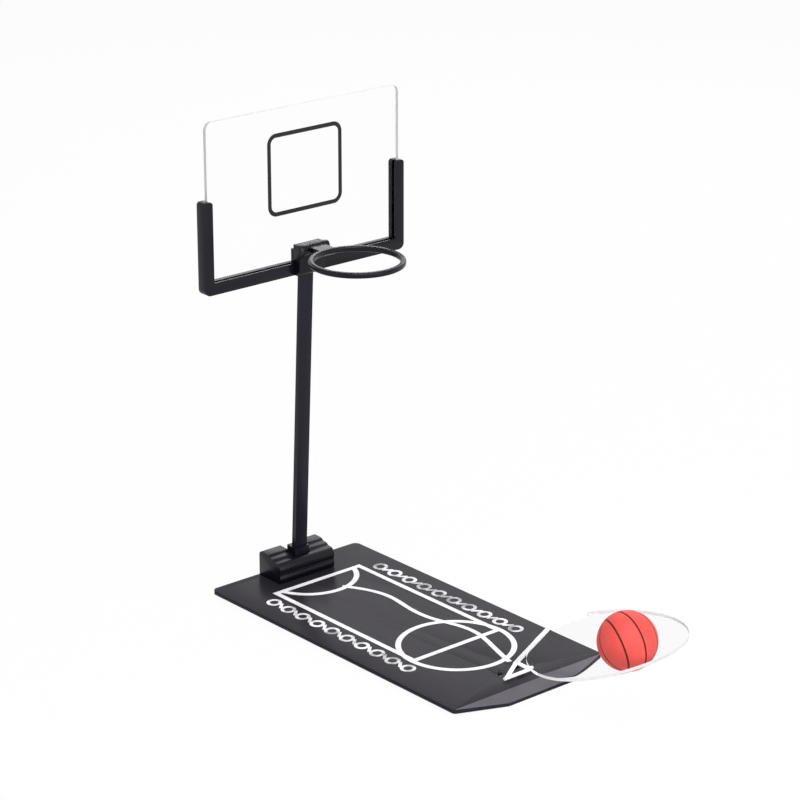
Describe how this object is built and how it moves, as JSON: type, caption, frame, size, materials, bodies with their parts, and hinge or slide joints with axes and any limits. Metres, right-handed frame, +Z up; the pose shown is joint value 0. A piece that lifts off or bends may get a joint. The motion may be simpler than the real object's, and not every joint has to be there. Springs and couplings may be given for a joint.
{
  "type": "tabletop basketball game",
  "caption": "Tabletop basketball toy: dark court plate, folding mast with a clear backboard, round hoop on a pin, and a clear springy paddle that launches a small ball",
  "frame": {"origin": "centre of the underside of the base, on the plane the foam and the lip rest on", "axes": "+Z up, +X across to the right seen from the launcher, +Y along the base towards the mast, so the launcher end faces -Y"},
  "size_m": [0.1182, 0.2484, 0.2373],
  "materials": {
    "base_plastic": "satin dark grey moulding with fine handling marks",
    "foam": "soft matt foam",
    "white_print": "flat white ink, slightly worn",
    "black_plastic": "satin near-black moulding",
    "pole_paint": "satin black paint on a flat steel bar",
    "pin_steel": "drawn steel",
    "screw_steel": "blackened steel",
    "clear_plastic": "clear polished plastic sheet",
    "dark_print": "flat dark ink on the clear board",
    "ball_rubber": "pebbled orange-red moulding with maroon seams"
  },
  "bodies": {
    "base": {"base_plate": "base_plastic", "anti_slip_sheet": "foam", "court_lines": "white_print", "side_ring_print": "white_print", "hinge_housing": "black_plastic", "hinge_pin": "pin_steel", "pin_plug": "black_plastic", "friction_washers": "pin_steel", "friction_leaf": "pin_steel", "housing_screws": "screw_steel", "launcher_foot": "clear_plastic", "foot_rivets": "screw_steel"},
    "mast": {"pole_knuckle": "black_plastic", "pole_bar": "pole_paint", "neck_rivet": "screw_steel", "board_frame": "black_plastic", "backboard": "clear_plastic", "target_square": "dark_print", "hoop_bracket": "black_plastic", "bracket_screws": "screw_steel", "hoop_pin": "screw_steel"},
    "hoop": {"hoop_ring": "black_plastic"},
    "launcher": {"launcher_sheet": "clear_plastic"},
    "ball": {"ball": "ball_rubber"}
  },
  "joints": [
    {"name": "pole_fold", "type": "hinge", "parent": "base", "child": "mast", "pos_m": [0, 0.08045, 0.0086], "axis": [-1, 0, 0], "range_deg": [0, 90]},
    {"name": "hoop_fold", "type": "hinge", "parent": "mast", "child": "hoop", "pos_m": [0, 0.06577, 0.1706], "axis": [-1, 0, 0], "range_deg": [0, 88]},
    {"name": "launcher_press", "type": "hinge", "parent": "base", "child": "launcher", "pos_m": [0, -0.07555, 0.0041], "axis": [1, 0, 0], "range_deg": [0, 18], "stiffness_Nm_per_rad": 1, "springref_deg": -1.72},
    {"name": "ball_lift", "type": "slide", "parent": "launcher", "child": "ball", "axis": [0, 0, 1], "range_m": [0, 0.06]}
  ]
}
